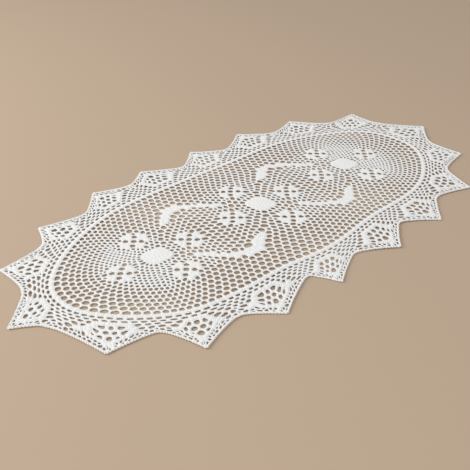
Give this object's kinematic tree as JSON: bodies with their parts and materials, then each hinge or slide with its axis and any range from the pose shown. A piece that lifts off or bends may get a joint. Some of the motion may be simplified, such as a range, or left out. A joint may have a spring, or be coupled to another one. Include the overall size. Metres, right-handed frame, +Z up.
{
  "type": "crochet table runner",
  "caption": "Flat oval lace table runner in white crochet: solid discs and open flowers on a net ground, chevrons between them, an oval band and a pointed edge.",
  "frame": {"origin": "middle of the runner's box, on its underside", "axes": "+X along the runner's length, +Y across it, +Z up out of its face"},
  "size_m": [0.5946, 0.3036, 0.0021],
  "materials": {
    "white_cotton": "matte crochet cotton"
  },
  "bodies": {
    "root": {"runner": "white_cotton"}
  },
  "joints": []
}
